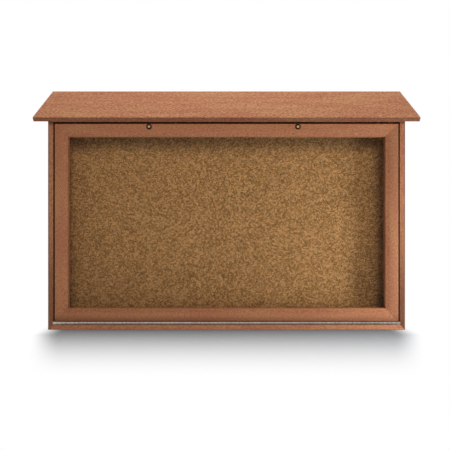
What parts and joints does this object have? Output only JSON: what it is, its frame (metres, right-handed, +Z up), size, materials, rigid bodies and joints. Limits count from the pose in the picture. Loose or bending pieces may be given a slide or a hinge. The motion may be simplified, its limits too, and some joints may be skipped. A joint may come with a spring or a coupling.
{
  "type": "lockable notice board",
  "caption": "Wall-mounted cork notice board under a sloped roof, with a clear-pane door on a continuous bottom hinge and two cam locks at its top edge.",
  "frame": {"origin": "middle of the four wall-screw holes, on the wall plane", "axes": "+X to the viewer's right along the board, +Y into the wall, +Z up"},
  "size_m": [1.118, 0.1538, 0.7394],
  "materials": {
    "case_board": "mottled reddish-brown recycled plastic board, fine extruded texture",
    "inner_board": "reddish-brown recycled plastic strip, sawn faces",
    "back_sheet": "brown plastic sheet",
    "door_board": "moulded reddish-brown recycled plastic members",
    "biscuit_wood": "pressed wood key",
    "fibreboard": "pressed fibreboard",
    "cork": "speckled natural cork, matte",
    "foam_tape": "closed-cell foam tape",
    "hinge_steel": "stainless strip, rolled knuckles",
    "pin_steel": "drawn steel wire",
    "clear_pane": "clear acrylic sheet",
    "lock_bronze": "dark oiled bronze plate",
    "plug_nickel": "turned, nickel plated",
    "plate_steel": "zinc-plated steel strip",
    "screw_steel": "stainless screws"
  },
  "bodies": {
    "case": {"case_side_left": "case_board", "case_side_right": "case_board", "case_bottom": "case_board", "case_corner_screws": "screw_steel", "head_rail": "case_board", "head_rail_screws": "screw_steel", "roof_board": "case_board", "roof_screws": "screw_steel", "roof_cleat_left": "inner_board", "roof_cleat_right": "inner_board", "cleat_screws": "screw_steel", "roof_batten": "inner_board", "back_panel": "back_sheet", "back_panel_screws": "screw_steel", "rear_batten_lower": "inner_board", "rear_batten_upper": "inner_board", "tackboard_backing": "fibreboard", "cork_sheet": "cork", "stop_strip_left": "inner_board", "stop_strip_right": "inner_board", "stop_strip_screws": "screw_steel", "stop_gasket_left": "foam_tape", "stop_gasket_right": "foam_tape", "strike_plate_left": "plate_steel", "strike_plate_right": "plate_steel", "strike_screws": "screw_steel", "hinge_leaf_case": "hinge_steel", "hinge_pin": "pin_steel", "hinge_case_screws": "screw_steel"},
    "door": {"door_rail_top": "door_board", "door_rail_bottom": "door_board", "door_stile_left": "door_board", "door_stile_right": "door_board", "door_corner_biscuits": "biscuit_wood", "window_pane": "clear_pane", "pane_retainer_top": "door_board", "pane_retainer_bottom": "door_board", "pane_retainer_left": "door_board", "pane_retainer_right": "door_board", "retainer_screws": "screw_steel", "hinge_leaf_door": "hinge_steel", "hinge_door_screws": "screw_steel", "lock_bodies": "lock_bronze", "lock_nuts": "lock_bronze"},
    "lock_left": {"lock_plug_left": "plug_nickel", "lock_cam_left": "plate_steel", "lock_cam_screw_left": "screw_steel"},
    "lock_right": {"lock_plug_right": "plug_nickel", "lock_cam_right": "plate_steel", "lock_cam_screw_right": "screw_steel"}
  },
  "joints": [
    {"name": "door_hinge", "type": "hinge", "parent": "case", "child": "door", "pos_m": [0, -0.13145, -0.29555], "axis": [1, 0, 0], "range_deg": [0, 180]},
    {"name": "lock_left_turn", "type": "hinge", "parent": "door", "child": "lock_left", "pos_m": [-0.227, -0.132, 0.2795], "axis": [0, 1, 0], "range_deg": [0, 90]},
    {"name": "lock_right_turn", "type": "hinge", "parent": "door", "child": "lock_right", "pos_m": [0.209, -0.132, 0.2795], "axis": [0, 1, 0], "range_deg": [0, 90]}
  ]
}
